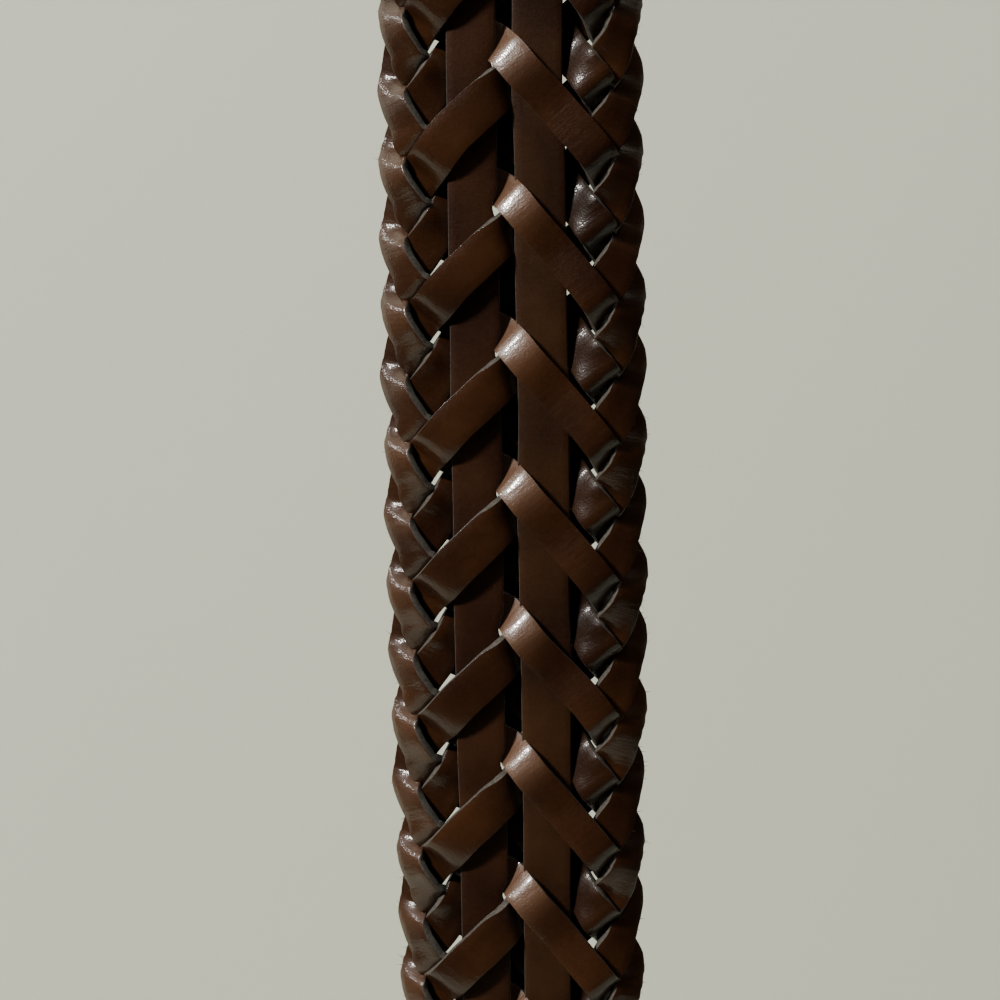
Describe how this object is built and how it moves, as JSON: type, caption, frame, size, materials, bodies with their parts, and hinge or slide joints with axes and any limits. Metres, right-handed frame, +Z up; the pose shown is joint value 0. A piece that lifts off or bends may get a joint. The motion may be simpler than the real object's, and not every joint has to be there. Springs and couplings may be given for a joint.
{
  "type": "braided leather belt",
  "caption": "Braided leather belt hanging straight down from its plain frame buckle: zigzag laces woven round two straight straps, with folded tabs at both ends and a keeper loop.",
  "frame": {"origin": "middle of the inner face of the buckle frame's top side, where the belt hangs on a hook", "axes": "+Z up along the hanging belt, +X across it, and the front of the belt faces -Y"},
  "size_m": [0.048, 0.02, 0.9716],
  "materials": {
    "brown_leather": "glossy, deep brown, grained",
    "dark_leather": "glossy, near-black brown",
    "buckle_metal": "brushed, aged"
  },
  "bodies": {
    "root": {"core_left": "dark_leather", "core_right": "brown_leather", "lace_1": "brown_leather", "lace_2": "brown_leather", "lace_3": "brown_leather", "lace_4": "brown_leather", "lace_5": "brown_leather", "lace_6": "brown_leather", "lace_7": "brown_leather", "lace_8": "brown_leather", "buckle_tab": "dark_leather", "tip_tab": "dark_leather", "keeper_loop": "dark_leather", "buckle": "buckle_metal"}
  },
  "joints": []
}
